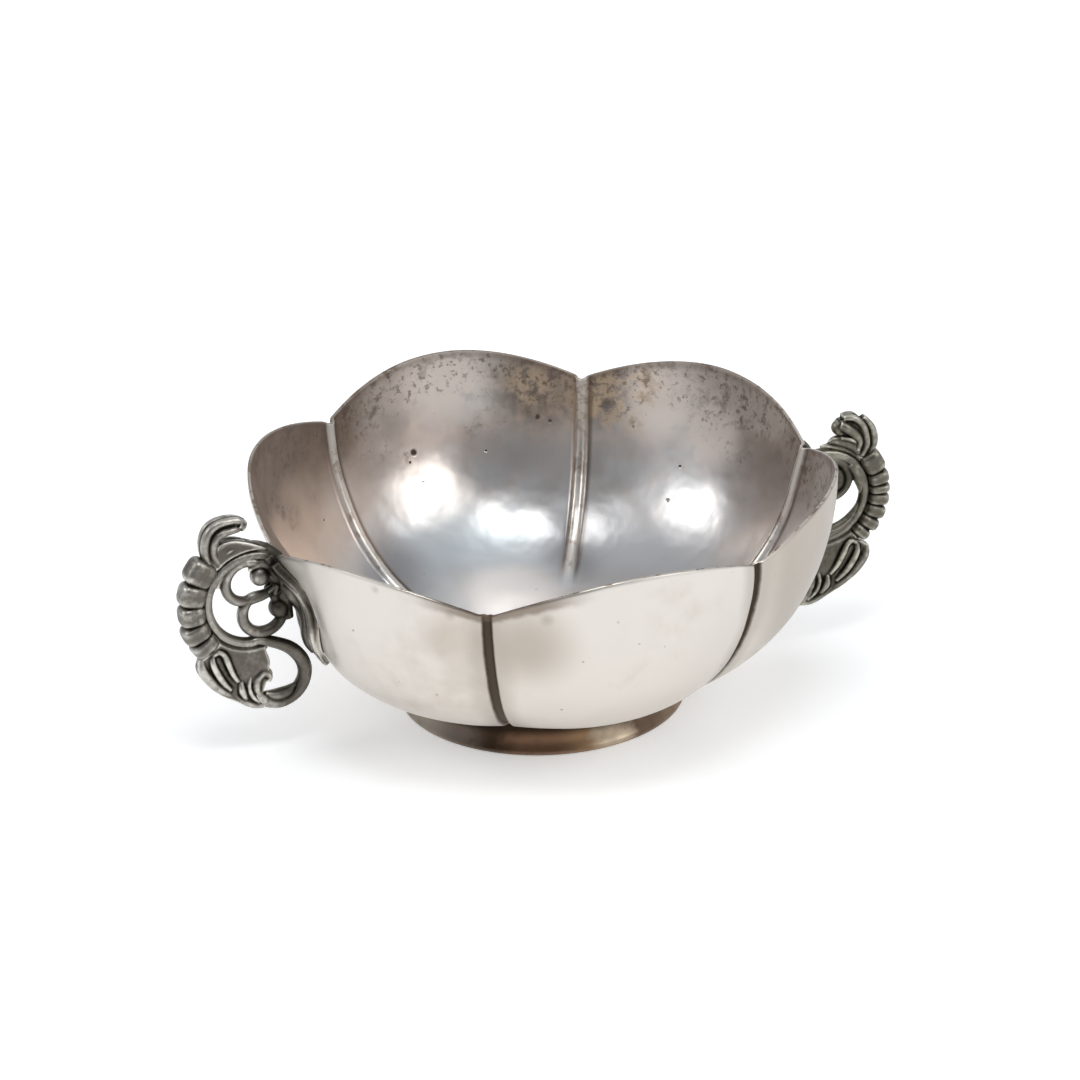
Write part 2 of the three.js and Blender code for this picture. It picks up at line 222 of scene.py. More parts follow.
def split(vector):
    node = vector.socket.id_data.nodes.new("ShaderNodeSeparateXYZ")
    feed(vector, node.inputs[0])
    return [Term(socket) for socket in node.outputs]


def vector_of(tree, **axes):
    return add_node(tree, "ShaderNodeCombineXYZ", axes)


def named(tree, name, kind="FLOAT"):
    return add_node(tree, "GeometryNodeInputNamedAttribute", {"Name": name}, data_type=kind)


def stored(mesh, name, value):
    return add_node(mesh.socket.id_data, "GeometryNodeStoreNamedAttribute", {
        "Geometry": mesh, "Name": name, "Value": value}, data_type="FLOAT", domain="POINT")


def moved_to(mesh, place):
    return add_node(
        mesh.socket.id_data, "GeometryNodeSetPosition", {"Geometry": mesh, "Position": place})


mesh_socket = ("Geometry", "Geometry")      # name and kind


def open_tree(name, sizes, kind="Geometry", first=mesh_socket, result=mesh_socket):
    """A tree with its first input, a named input for each size, and its result. Gives the tree
    and what comes in."""
    tree = bpy.data.node_groups.new(name, kind + "NodeTree")

    def add_socket(name, kind, side="INPUT"):
        return tree.interface.new_socket(name, in_out=side, socket_type="NodeSocket" + kind)

    add_socket(*first)
    for size, value in sizes.items():
        add_socket(size, "Int" if isinstance(value, int) else "Float").default_value = value
    add_socket(*result, "OUTPUT")
    entry = tree.nodes.new("NodeGroupInput")
    return tree, {socket.name: Term(socket) for socket in entry.outputs if socket.name}


def hand_out(value):
    """Makes a value the result of its tree."""
    feed(value, value.socket.id_data.nodes.new("NodeGroupOutput").inputs[0])


def close_tree(mesh, material):
    tree = mesh.socket.id_data
    realized = add_node(tree, "GeometryNodeRealizeInstances", {"Geometry": mesh})
    hand_out(add_node(
        tree, "GeometryNodeSetMaterial", {"Geometry": realized, "Material": material}))


def grown(name, base, steps, material, place=None):
    """Takes a base mesh through its steps and keeps the result as a plain mesh. A step is a
    geometry tree with its sizes, a number for melting all into one skin, or a shape to cut away."""
    seed = put(name + "_base", base)
    for step in steps:
        if isinstance(step, tuple):
            modifier = seed.modifiers.new("growth", "NODES")
            modifier.node_group, sizes = step
            for item in modifier.node_group.interface.items_tree:
                if item.item_type == "SOCKET" and item.in_out == "INPUT" and item.name in sizes:
                    modifier[item.identifier] = sizes[item.name]
        elif isinstance(step, float):
            modifier = seed.modifiers.new("melting", "REMESH")
            modifier.mode, modifier.voxel_size = "VOXEL", step
        else:
            modifier = seed.modifiers.new("cutting", "BOOLEAN")
            modifier.operation, modifier.solver, modifier.object = "DIFFERENCE", "MANIFOLD", step
    settled = seed.evaluated_get(bpy.context.evaluated_depsgraph_get())
    mesh = bpy.data.meshes.new_from_object(settled)
    seed.modifiers.clear()
    bpy.data.objects.remove(seed)
    mesh.name = name
    mesh.materials.clear()
    mesh.materials.append(material)
    if place is not None:
        mesh.transform(place)
    return put(name, mesh)


lobes = 6
channel_turn = [-1.5, -1, 0, 1.5, -1.5, -2]            # degrees away from an even sixth
channel_reach = [2, 0, -1, 0.2, 1.5, 0]                # mm out at the rim
channel_rise = [0, 1, 1.5, -2.1, 0.5, 1]               # mm up at the rim
channel_dent = [0, 0, 0, 5.8, 0, 0]                    # mm pushed in at mid height, under a strap
lobe_swell = [-0.5, -0.1, -0.7, -0.5, 0.1, 0]          # mm more bulge
lobe_rise = [-0.5, -0.5, 0.5, 0.5, 1, -1]              # mm more lift
bowl_sizes = {name: value * mm for name, value in {
    "rim radius": 61.6, "rim height": 48, "bulge": 11.55, "lift": 7.4, "flat radius": 21,
    "flat height": 7.5, "belly pull": 36.2, "rim pull": 5.4, "in-turn": 0.54, "lobes start": 33,
    "lobes full": 40, "sheet": 1.2, "rim thinning": 0.4, "channel half width": 1.35,
    "channel depth": 0.9, "rib height": 0.9, "lip crown": 0.25, "unevenness": 0.35,
}.items()}
lobe_lift_power = 4.15   # how late up the wall the rise to a lobe's top begins
dent_start = 0.36        # the dent lies between this share of the wall's line and the rim
dent_reach = ((-0.25, -1), (-0.2, 0.9))    # across the lobe after it and the lobe before it
columns_a_lobe, sheet_rows, lip_rows = 64, 64, 6
flat_share = 0.16        # of the rows, for the flat bottom
crowding = 0.7           # draws columns together at the channels
ripple_scale = 55.0      # hollows left by the hammer, about 18 mm across
ripple_start = (0.05, 0.3)                 # of the wall's line, where they set in
thinning_start = 0.8     # of the wall's line
groove_floor = 0.35      # of the channel's half width, where the groove is full depth
rib_reach = (1.4, 0.25)  # of the same, where the rib begins and where it is full height
sixth = math.tau / lobes

guide = mesh_of(
    "bowl_guide", [(math.cos(i * sixth), math.sin(i * sixth), 0) for i in range(lobes)])
for name, rows in (
    ("channel", zip(np.radians(channel_turn), channel_reach, channel_rise)),
    ("lobe", zip(channel_dent, lobe_swell, lobe_rise)),
):
    layer = guide.attributes.new(name, "FLOAT_VECTOR", "POINT")
    for index, row in enumerate(rows):
        layer.data[index].vector = row

bowl_tree, size = open_tree("lobed_bowl", bowl_sizes)


def grid_of(rows):
    return add_node(bowl_tree, "GeometryNodeMeshGrid", {
        "Vertices X": lobes * columns_a_lobe + 1, "Vertices Y": rows})


index = add_node(bowl_tree, "GeometryNodeInputIndex")
column = (index / sheet_rows).work("FLOOR")
share_up = (index - column * sheet_rows) / (sheet_rows - 1)
lobe = (column / columns_a_lobe + 1e-4).work("FLOOR")
across = column / columns_a_lobe - lobe
side = (across - (across * math.tau).work("SINE") * (crowding / math.tau)) * 2 - 1
t = between(share_up, flat_share, 1, kind="LINEAR")
flat = between(share_up, 0, flat_share, kind="LINEAR")


def sampled(mesh, value, which, kind="FLOAT"):
    """A value of one mesh, read at one of its points."""
    return add_node(bowl_tree, "GeometryNodeSampleIndex", {
        "Geometry": mesh, "Value": value, "Index": which}, data_type=kind, domain="POINT")


def of_channel(name, which):
    layer = named(bowl_tree, name, "FLOAT_VECTOR")
    which = which.work("FLOORED_MODULO", float(lobes))
    return split(sampled(size["Geometry"], layer, which, "FLOAT_VECTOR"))


def bezier(a, b, c, d):
    s = 1 - t
    return s ** 3 * a + (s ** 2) * t * b * 3 + s * (t ** 2) * c * 3 + (t ** 3) * d


wall_x = bezier(size["flat radius"], size["flat radius"] + size["belly pull"],
                size["rim radius"] + size["in-turn"], size["rim radius"])
wall_z = bezier(size["flat height"], size["flat height"],
                size["rim height"] - size["rim pull"], size["rim height"])


def channel_point(which):
    turn, reach, rise = of_channel("channel", which)
    angle = which * sixth + turn
    radius = wall_x + reach * mm * (t ** 2)
    height = wall_z + rise * mm * (t ** 2)
    place = vector_of(
        bowl_tree, X=radius * angle.work("COSINE"), Y=radius * angle.work("SINE"), Z=height)
    return place, angle


start, start_angle = channel_point(lobe)
end, end_angle = channel_point(lobe + 1)
dent_here, swell, rise_here = of_channel("lobe", lobe)
dent_next = of_channel("lobe", lobe + 1)[0]
half = (end - start) * 0.5
fade = between(wall_x, size["lobes start"], size["lobes full"])
half_angle = (end_angle - start_angle) * 0.5
round_bulge = wall_x * (1 - half_angle.work("COSINE"))
full_bulge = (size["bulge"] + swell * mm) * wall_x / size["rim radius"]
bulge = round_bulge + (full_bulge - round_bulge) * fade
middle = (start_angle + end_angle) * 0.5
outward = vector_of(bowl_tree, X=middle.work("COSINE"), Y=middle.work("SINE"))
arch = 1 - side * side
upward = (size["lift"] + rise_here * mm) * t ** lobe_lift_power * arch
rising = vector_of(bowl_tree, Z=upward)
wall_place = (start + end) * 0.5 + half * side + outward * (bulge * arch) + rising
dent_along = ((between(t, dent_start, 1, kind="LINEAR") * math.pi).work("SINE")) ** 2
for near_angle, dent, reach in zip((start_angle, end_angle), (dent_here, dent_next), dent_reach):
    channel_way = vector_of(bowl_tree, X=near_angle.work("COSINE"), Y=near_angle.work("SINE"))
    wall_place = wall_place - channel_way * (dent * mm * dent_along * between(side, *reach))
bowl_centre = vector_of(bowl_tree, Z=size["flat height"])
wall_place = bowl_centre + (wall_place - bowl_centre) * flat
ripple = (noise(wall_place, ripple_scale, 1.0) - 0.5) * size["unevenness"] * 2
ripple = ripple * between(t, *ripple_start)
distance = (1 - side.work("ABSOLUTE")) * (
    (half.work("LENGTH") ** 2 + (bulge * 2) ** 2).work("SQRT"))
sheet = moved_to(grid_of(sheet_rows), wall_place)

# The skin goes up the sheet's outside, over the lip and down the inside
skin_rows = 2 * sheet_rows + lip_rows
skin_column = (index / skin_rows).work("FLOOR")
skin_row = index - skin_column * skin_rows
inner_row = (skin_rows - 1) - skin_row
sheet_row = skin_row.work("MINIMUM", inner_row).work("MINIMUM", sheet_rows - 1.0)
sheet_index = skin_column * sheet_rows + sheet_row
lip = between(skin_row, sheet_rows - 1.0, float(sheet_rows + lip_rows), kind="LINEAR")


def from_sheet(value, kind="FLOAT"):
    return sampled(sheet, value, sheet_index, kind)


place = from_sheet(add_node(bowl_tree, "GeometryNodeInputPosition"), "FLOAT_VECTOR")
normal = from_sheet(add_node(bowl_tree, "GeometryNodeInputNormal"), "FLOAT_VECTOR")
skin_distance, skin_t, skin_fade, skin_side, skin_ripple = [
    from_sheet(value) for value in (distance, t, fade, side, ripple)]
half_width = size["channel half width"]
groove = between(skin_distance, half_width, half_width * groove_floor)
outer_depth = groove * skin_fade * size["channel depth"]
thinned = size["rim thinning"] * between(skin_t, thinning_start, 1)
rib = between(skin_distance, *[half_width * reach for reach in rib_reach])
inner_depth = size["sheet"] - thinned + rib * skin_fade * size["rib height"]
depth = outer_depth + (inner_depth - outer_depth) * lip
crown = vector_of(bowl_tree, Z=(lip * math.pi).work("SINE") * size["lip crown"])
skin_place = place + normal * (skin_ripple - depth) + crown
skin = moved_to(grid_of(skin_rows), skin_place)
for name, value in (("inside", lip), ("up_wall", skin_t), ("from_channel", skin_distance / mm),
                    ("lobing", skin_fade), ("side", skin_side)):
    skin = stored(skin, name, value)
skin = add_node(bowl_tree, "GeometryNodeMergeByDistance",
                {"Geometry": skin, "Distance": 0.005 * mm})
skin = add_node(bowl_tree, "GeometryNodeSetShadeSmooth", {"Geometry": skin})


def mixed(share, first, second):
    """A colour between two, by a share that changes over the surface."""
    node = share.socket.id_data.nodes.new("ShaderNodeMix")
    node.data_type, node.clamp_factor = "RGBA", True
    for entry, value in ((0, share), (6, first), (7, second)):
        feed((*value, 1) if isinstance(value, tuple) else value, node.inputs[entry])
    return Term(node.outputs[2])


def layered(colour, *films):
    """Lays films over a colour, one after the other, each with its own share and colour."""
    for share, film_colour in films:
        colour = mixed(share, colour, film_colour)
    return colour


def most(first, *others):
    """The greatest of some masks at each place."""
    for other in others:
        first = first.work("MAXIMUM", other)
    return first


def new_metal(name):
    """A metal: its material, its shader, and the place on the piece."""
    metal = bpy.data.materials.new(name)
    metal.use_nodes = True
    coat = metal.node_tree
    return metal, coat.nodes["Principled BSDF"], add_node(coat, "ShaderNodeTexCoord", out=3)


def roughened(shader, height):
    """Unevenness of a metal's skin, in metres, that is too fine to be modelled."""
    bump = add_node(shader.id_data, "ShaderNodeBump", {
        "Strength": 1.0, "Distance": 1.0, "Height": height})
    feed(bump, shader.inputs["Normal"])


def open_mask(name, **sizes):
    """A shader group that takes a place and sizes, and gives a mask."""
    return open_tree(name, sizes, "Shader", ("Vector", "Vector"), ("Mask", "Float"))


def placed(group, place, **sizes):
    return add_node(place.socket.id_data, "ShaderNodeGroup", {"Vector": place, **sizes},
                    node_tree=group)


# Tarnish in clouds with ragged edges: 0 where the metal is clean, 1 where it is brown
cloud_group, cloud = open_mask("tarnish_clouds", Scale=40.0, Amount=0.5, Ragged=0.3)
broad = noise(cloud["Vector"], cloud["Scale"], 4.0, 0.6)
fine = noise(cloud["Vector"], cloud["Scale"] * 6, 3.0)
hand_out(between(broad + (fine - 0.5) * cloud["Ragged"] + cloud["Amount"], 0.86, 1.12))

# Pits and specks: small dark dots, thinly scattered
speck_group, speck = open_mask("pits_and_specks", Scale=160.0, Amount=0.1)
cells = add_node(speck_group, "ShaderNodeTexVoronoi", {
    "Vector": speck["Vector"], "Scale": speck["Scale"]}, distance="EUCLIDEAN")
chance = noise(speck["Vector"], speck["Scale"] * 0.6, 0.0)
hand_out(fading(cells, 0.05, 0.13) * between(chance + speck["Amount"], 0.62, 0.74))

bowl_silver, shader, here = new_metal("raised_silver")
here_x, here_y, _ = split(here)


def painted(metal, name):
    """A value that the metal's skin carries in itself."""
    return add_node(metal.node_tree, "ShaderNodeAttribute", out=2,
                    attribute_type="GEOMETRY", attribute_name=name)


inside, up_wall, from_channel, lobing, lobe_side = [
    painted(bowl_silver, name) for name in ("inside", "up_wall", "from_channel", "lobing", "side")]
inner = between(inside, 0.8, 0.97)
outer = fading(inside, 0.03, 0.2)
patch = noise(here, 90.0, 4.0)
flake = noise(here, 260.0, 4.0, 0.65)
specks = placed(speck_group, here, Scale=300.0, Amount=0.02)


def near(place, inner_reach, outer_reach):
    """A mark at one place of the bowl (mm), full within its inner reach."""
    off = (here - tuple(value * mm for value in place)).work("LENGTH")
    return fading(off + (flake - 0.5) * mm, inner_reach * mm, outer_reach * mm)


# Inside, the low part is bright, with a painted highlight on the bottom and painted shade beside
# the ribs, and the rest has a brown film: the left lobe all over, the others in a broken band below
# the lip and beside the ribs
clouds = placed(cloud_group, here, Scale=28.0, Amount=0.42 + up_wall * 0.1, Ragged=0.4)
low = fading(up_wall, 0.28, 0.50)
low_colour = mixed(between(here_x, 0.005, 0.025), (0.64, 0.67, 0.68), (0.56, 0.55, 0.545))
rib_shade = fading(from_channel + (patch - 0.5) * 8, 2.0, 12.0) * fading(up_wall, 0.25, 0.60)
mottle = noise(here, 45.0, 5.0, 0.6)
film_high = between(up_wall + (mottle - 0.5) * 0.5, 0.46, 0.72)
top_band = between(up_wall + (patch - 0.5) * 0.5, 0.70, 0.86)
band_colour = mixed(between(flake, 0.30, 0.66), (0.40, 0.32, 0.26), (0.90, 0.82, 0.73))
warmth = noise(here, 55.0, 3.0, 0.55)
warm_high = between(warmth, 0.50, 0.60) * between(up_wall, 0.55, 0.75)
# Pale pink patches on the back lobes: a pink tarnish film, made near white and matte as a painted
# sheen
pink_film_and_sheen = most(near((47, 41, 46), 4, 14), near((54, 31, 40), 3, 12), near((3, 63, 50), 3, 15))
pink_film_and_sheen = pink_film_and_sheen * between(warmth + (flake - 0.5) * 0.5, 0.26, 0.46)
by_rib = fading(from_channel + (patch - 0.5) * 18, 5.0, 15.0) * between(up_wall, 0.60, 0.82)
by_rib = most(by_rib, near((23, 57, 47), 6, 15) * 0.9)
by_rib_colour = mixed(between(flake, 0.36, 0.68), (0.13, 0.09, 0.068), (0.48, 0.35, 0.25))
gilt = most(near((38, 50, 48), 5, 15), near((21, 58, 47), 2, 7)) * between(flake, 0.38, 0.64)
right_end = between(here_x, 0.046, 0.060) * between(up_wall, 0.3, 0.55)
left_side = between(here_x * -0.87 + here_y * 0.5, 0.036, 0.058)
left_colour = mixed(
    between(up_wall, 0.46, 0.84) + (patch - 0.5) * 0.9, (0.70, 0.535, 0.42), (0.17, 0.12, 0.09))
dark_flakes = between(flake, 0.48, 0.70) * between(up_wall + (patch - 0.5) * 1.1, 0.66, 0.92)
grit = noise(here, 620.0, 3.0, 0.7)
gritty = between(grit, 0.54, 0.64) * between(up_wall + (patch - 0.5) * 0.8, 0.66, 0.86)
under_lip = between(up_wall + (flake - 0.5) * 0.12, 0.945, 1.0)
rib_foot = between(from_channel + (flake - 0.5) * 0.8, 1.3, 1.7) * fading(from_channel, 1.9, 3.0)
rib_foot = rib_foot * between(lobe_side, 0.0, 0.4, 0.15, 1.0) * lobing
rib_top = fading(from_channel, 0.9, 1.4) * lobing
rib_top_colour = mixed(between(flake, 0.5, 0.66), (0.78, 0.73, 0.67), (0.40, 0.33, 0.27))
pits = near((-7.2, 59.4, 34.5), 0.5, 1.1)
for pit, reach in (
    ((22.0, 56.2, 39.5), 0.9), ((24.5, 54.9, 38.6), 0.6),
    ((44.1, 32.4, 24.4), 0.5), ((43.0, 31.0, 21.3), 0.5),
):
    pits = most(pits, near(pit, reach * 0.4, reach) * 0.8)
inner_colour = layered(
    mixed(clouds, (0.77, 0.765, 0.765), (0.72, 0.665, 0.625)),
    (low, low_colour),
    (rib_shade * lobing * 0.7, (0.30, 0.29, 0.29)),
    # Painted highlight: a white patch on the bottom of the bowl
    (near((4, 29, 9), 5, 19), (0.98, 0.98, 0.98)),
    # Painted shade: a dark grey patch low beside the left-back rib
    (near((-17, 41, 17), 2, 11) * 0.6, (0.33, 0.32, 0.33)),
    (film_high * between(mottle, 0.38, 0.62) * 0.75, (0.66, 0.56, 0.50)),
    (top_band * 0.75, band_colour),
    (warm_high * 0.55, (0.90, 0.79, 0.71)),
    (pink_film_and_sheen * 0.85, (0.96, 0.85, 0.77)),
    (by_rib * 0.78, by_rib_colour),
    (gilt * 0.85, (0.84, 0.63, 0.42)),
    (right_end * 0.55, (0.36, 0.31, 0.28)),
    (left_side * 0.9, left_colour),
    (dark_flakes * (1 - pink_film_and_sheen * 0.6) * 0.85, (0.13, 0.092, 0.07)),
    (gritty * 0.65, (0.16, 0.115, 0.085)),
    (under_lip * 0.55, (0.20, 0.15, 0.12)),
    (rib_foot * 0.75, (0.13, 0.095, 0.075)),
    (rib_top * 0.85, rib_top_colour),
    (most(specks, pits), (0.07, 0.05, 0.04)),
)

# Outside it is clean and pale, with a soft painted shade beside the channels, on the right side
# and about the front channel, and a painted dark reflection in the channels and below the rim at the
# front
clouds = placed(cloud_group, here, Scale=34.0, Amount=0.34, Ragged=0.3)
# Painted shade: the right side of the outside is darker
right_side_shade = between(here_x * 0.93 - here_y * 0.36, 0.042, 0.054)
shade = fading(from_channel + (patch - 0.5) * 5, 1.6, 6.5) * lobing
# Painted dark reflection in the chased channels
groove_reflection = fading(from_channel + (flake - 0.5) * 0.5, 0.75, 1.5) * lobing
groove_reflection_colour = mixed(between(here_x, 0.0, 0.03), (0.105, 0.084, 0.060), (0.080, 0.060, 0.042))
# Painted dark reflection: a band just below the rim at the front
front_edge_reflection = near((-30, -56, 50), 8, 22) * between(up_wall + (flake - 0.5) * 0.05, 0.925, 0.965)
stains = specks
for stain, reach in (
    ((-22.0, -60.6, 49.3), 2.2), ((-52.5, -39.7, 53.0), 1.4), ((-39.7, -50.1, 49.3), 1.8),
):
    stains = most(stains, near(stain, 0, reach) * 0.5)
outer_colour = layered(
    mixed(clouds, (0.71, 0.665, 0.61), (0.62, 0.57, 0.51)),
    (right_side_shade * 0.8, (0.42, 0.375, 0.32)),
    # Painted shade on both sides of the front channel
    (near((-26, -58, 42), 2, 15) * 0.7, (0.40, 0.345, 0.28)),
    (near((-40, -50, 43), 1, 10) * 0.45, (0.42, 0.345, 0.27)),
    (shade * 0.38, (0.34, 0.30, 0.25)),
    (groove_reflection, groove_reflection_colour),
    (front_edge_reflection * 0.75, (0.20, 0.15, 0.11)),
    (stains * 0.7, (0.22, 0.18, 0.13)),
)

# The lip is worn bright, with nicks, and painted dark about the front channel as a reflection
lip_colour = layered(
    mixed(between(flake, 0.52, 0.62), (0.60, 0.54, 0.47), (0.24, 0.18, 0.13)),
    (between(here_y, 0.0, 0.03) * 0.6, (0.22, 0.165, 0.12)),
    # Painted dark reflection on the lip about the front channel
    (near((-33, -55, 50), 9, 17) * 0.9, (0.10, 0.07, 0.05)),
)
lip_and_inside = mixed(inner, lip_colour, inner_colour)
feed(mixed(outer, lip_and_inside, outer_colour), shader.inputs["Base Color"])

# Film is duller than bare metal, and hammer marks and dragging soften what shines in the lobes
film = (top_band + by_rib + left_side + dark_flakes + pink_film_and_sheen).work("MINIMUM", 1.0) * inner
dull = top_band * 0.30 + pink_film_and_sheen * 0.85 + left_side * 0.22 + film_high * 0.10
feed(1 - dull.work("MINIMUM", 0.85) * inner, shader.inputs["Metallic"])
gloss = 0.31 + film * 0.16 + outer * 0.10 + groove_reflection * outer * 0.25 + (patch - 0.5) * 0.12
feed(gloss, shader.inputs["Roughness"])
hammer, planish = noise(here, 120.0, 2.0), noise(here, 62.0, 1.0)
drag = noise(here * (1.0, 1.0, 0.28), 190.0, 3.0)
roughened(shader, (
    planish * 0.50 + hammer * 0.24 + drag * inner * 0.05 + flake * 0.012
    - specks * 0.12 - pits * 0.15) * mm)
close_tree(skin, bowl_silver)
bowl = grown("raised_bowl", guide, [(bowl_tree, bowl_sizes)], bowl_silver)
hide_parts("bowl_shell")
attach(bowl, "root")

# Foot. A strip of the same silver bent into a ring, flared a little and soldered under the
# bowl. Brown tarnish has settled on it, and a painted shadow lies darkest in the corner under the
# belly.
foot_profile = [
    (30.4, 0.0), (31.2, 0.0), (31.7, 0.25), (31.8, 0.8), (31.6, 1.4), (31.25, 2.2), (31.0, 3.4),
    (30.85, 5.0), (30.8, 6.4), (30.8, 7.6), (30.5, 7.75), (29.4, 7.3), (29.2, 6.4), (29.4, 4.0),
    (29.9, 1.2), (30.2, 0.3),
]
foot_steps = 180
foot_level = 2           # mm up to which the strip runs true where it stands
foot_wave, foot_quiver, foot_inset = 0.12, 0.07, 0.19      # mm, above that
foot_points, foot_faces = [], []
for step in range(foot_steps):
    angle = math.tau * step / foot_steps
    uneven = foot_wave * math.sin(2 * angle + 1.1) + foot_quiver * math.sin(5 * angle)
    for radius, height in foot_profile:
        reach = radius + (uneven - foot_inset) * min(1, height / foot_level)
        foot_points.append((
            reach * math.cos(angle) * mm, reach * math.sin(angle) * mm, height * mm))
count = len(foot_profile)
for step in range(foot_steps):
    for corner in range(count):
        a, b = step * count, (step + 1) % foot_steps * count
        after = (corner + 1) % count
        foot_faces.append((a + corner, b + corner, b + after, a + after))
foot_mesh = mesh_of("foot_strip", foot_points, faces=foot_faces)
foot_mesh.shade_smooth()
foot = put("foot_strip", foot_mesh)

foot_silver, shader, here = new_metal("brown_silver")
foot_x, foot_y, foot_z = split(here)
stain = placed(cloud_group, here, Scale=50.0, Amount=0.45, Ragged=0.5)
# Lighter and darker bands across the strip, from the camera's left to its right
along_strip = foot_x * 0.93 - foot_y * 0.36 + (stain - 0.5) * 0.004
brown = layered((0.30, 0.26, 0.215), *[
    (between(along_strip, begin, finish), next_colour) for begin, finish, next_colour in (
        (-0.028, -0.020, (0.145, 0.115, 0.095)), (-0.020, -0.013, (0.045, 0.028, 0.017)),
        (-0.012, -0.006, (0.19, 0.108, 0.066)), (0.000, 0.007, (0.28, 0.175, 0.095)),
        (0.007, 0.013, (0.52, 0.42, 0.31)), (0.015, 0.021, (0.165, 0.112, 0.08)),
        (0.023, 0.029, (0.32, 0.23, 0.16)),
    )])
# Painted shadow in the corner under the belly, at the top of the foot
shadow_under_belly = between(foot_z, 0.0036, 0.0060)
worn_edge = fading(foot_z, 0.0004, 0.0012)
brown = layered(
    brown,
    (stain * 0.3, (0.07, 0.048, 0.034)),
    (shadow_under_belly * 0.92, (0.018, 0.012, 0.008)),
    (worn_edge * 0.3, (0.42, 0.34, 0.27)),
)
feed(brown, shader.inputs["Base Color"])
feed(0.38 + stain * 0.2, shader.inputs["Roughness"])
shader.inputs["Metallic"].default_value = 1.0
roughened(shader, (noise(here, 420.0, 3.0) + stain * 0.4) * (0.04 * mm))
foot_mesh.materials.append(foot_silver)
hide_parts("foot_ring")
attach(foot, "root")

# Handles. Two of the same design, each cast in pieces and soldered over a channel. Points of a
# casting are in mm, sideways out and up from the centre of its ring; -Y and +Y are its faces.
handles = {
    "right": {
        "turn": -1.5, "ring centre": (67.0, 35.8), "tilt": 7.5,
        "seams": (47, 25, 12, 3, -9, -22, -34, -45), "petals": (4.3, 4.2, 4.2, 4.2, 4.2, 4.2, 3.8),
    },
    "left": {
        "turn": 181.5, "ring centre": (67.5, 37.1), "tilt": 0.0,
        "seams": (47, 25, 5, -13.5, -30, -44), "petals": (5.7, 5.15, 4.88, 5.4, 5.5),
    },
}


def arc(centre, radius, start, end, steps, end_radius=None):
    """Points along an arc between two angles, which may wind in to another radius."""
    line = []
    for share in [step / steps for step in range(steps + 1)]:
        angle = math.radians(start + (end - start) * share)
        reach = radius + ((end_radius or radius) - radius) * share
        line.append((centre[0] + reach * math.cos(angle), centre[1] + reach * math.sin(angle)))
    return line


def along(values, share):
    return float(np.interp(share, np.linspace(0, 1, len(values)), values))


def node_shape(node, place):
    """A merged copy of a node of the solid model, in the millimetres of its casting."""
    shape = bmesh.new()
    shape.from_mesh(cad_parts[node].data)
    bmesh.ops.remove_doubles(shape, verts=shape.verts, dist=0.001 * mm)
    bmesh.ops.transform(shape, matrix=place.inverted(), verts=shape.verts)
    return shape


def casting_base(name, strokes, lumps, plate, breadth):
    """A mesh with a chain of points for each stroke, a loose point for each lump or petal, and a
    closed shape as its plate. A stroke is its points, its half thickness along them and, where it
    lies on both faces, its lift off the middle plane along them."""
    points, edges, faces = [], [], []
    thickness, lump_size, lump_turn, petal = [], [], [], []

    def add_point(point, radius=0.0, half_size=(0, 0, 0), turn=0.0, is_petal=False):
        points.append(point)
        thickness.append(radius)
        lump_size.append(half_size)
        lump_turn.append(turn)
        petal.append(float(is_petal))

    for line, widths, *lifts in strokes:
        lift = lifts[0] if lifts else (0,)
        for face in ((-1, 1) if any(lift) else (1,)):
            for number, spot in enumerate(line):
                share = number / (len(line) - 1)
                if number:
                    edges.append((len(points) - 1, len(points)))
                if len(spot) == 2:
                    spot = (spot[0], face * along(lift, share), spot[1])
                add_point(spot, along(widths, share))
    for centre, half_size, turn, is_petal in lumps:
        for face in ((-1, 1) if centre[1] else (1,)):
            add_point((centre[0], face * centre[1], centre[2]), 0.0, half_size, turn, is_petal)
    if plate is not None:
        first = len(points)
        for corner in plate.verts:
            add_point((corner.co.x, corner.co.y * breadth, corner.co.z))
        faces = [[first + corner.index for corner in face.verts] for face in plate.faces]
    base = mesh_of(name, points, edges, faces)
    for layer_name, values in (
        ("thickness", thickness), ("lump_turn", lump_turn), ("petal", petal),
    ):
        base.attributes.new(layer_name, "FLOAT", "POINT").data.foreach_set("value", values)
    layer = base.attributes.new("lump_size", "FLOAT_VECTOR", "POINT")
    layer.data.foreach_set("vector", np.ravel(lump_size))
    return base


flange_edge = (0.62, 0.82)    # of a stroke's half width, where its ridge goes down to the flange
flange_height = 0.15          # of the ridge


def stroke_mesh(tree, curve, radius, flange):
    """Smooths a chain of points and draws it out as a round wire, or with a flange to one that
    stands up as a ridge between two lower sides."""
    curve = add_node(tree, "GeometryNodeCurveSplineType",
                     {"Curve": curve}, spline_type="CATMULL_ROM")
    curve = add_node(tree, "GeometryNodeSetSplineResolution",
                     {"Geometry": curve, "Resolution": 10})
    curve = add_node(tree, "GeometryNodeSetCurveNormal",
                     {"Curve": curve, "Normal": (0, 1, 0)}, mode="FREE")
    outline = add_node(tree, "GeometryNodeCurvePrimitiveCircle",
                       {"Resolution": 40, "Radius": 1.0})
    deep, wide, _ = split(add_node(tree, "GeometryNodeInputPosition"))
    deep = deep * (1 - flange * between(wide.work("ABSOLUTE"), *flange_edge)) + (
        deep * flange * flange_height)
    outline = moved_to(outline, vector_of(tree, X=deep, Y=wide))
    return add_node(tree, "GeometryNodeCurveToMesh", {
        "Curve": curve, "Profile Curve": outline, "Scale": radius, "Fill Caps": True})


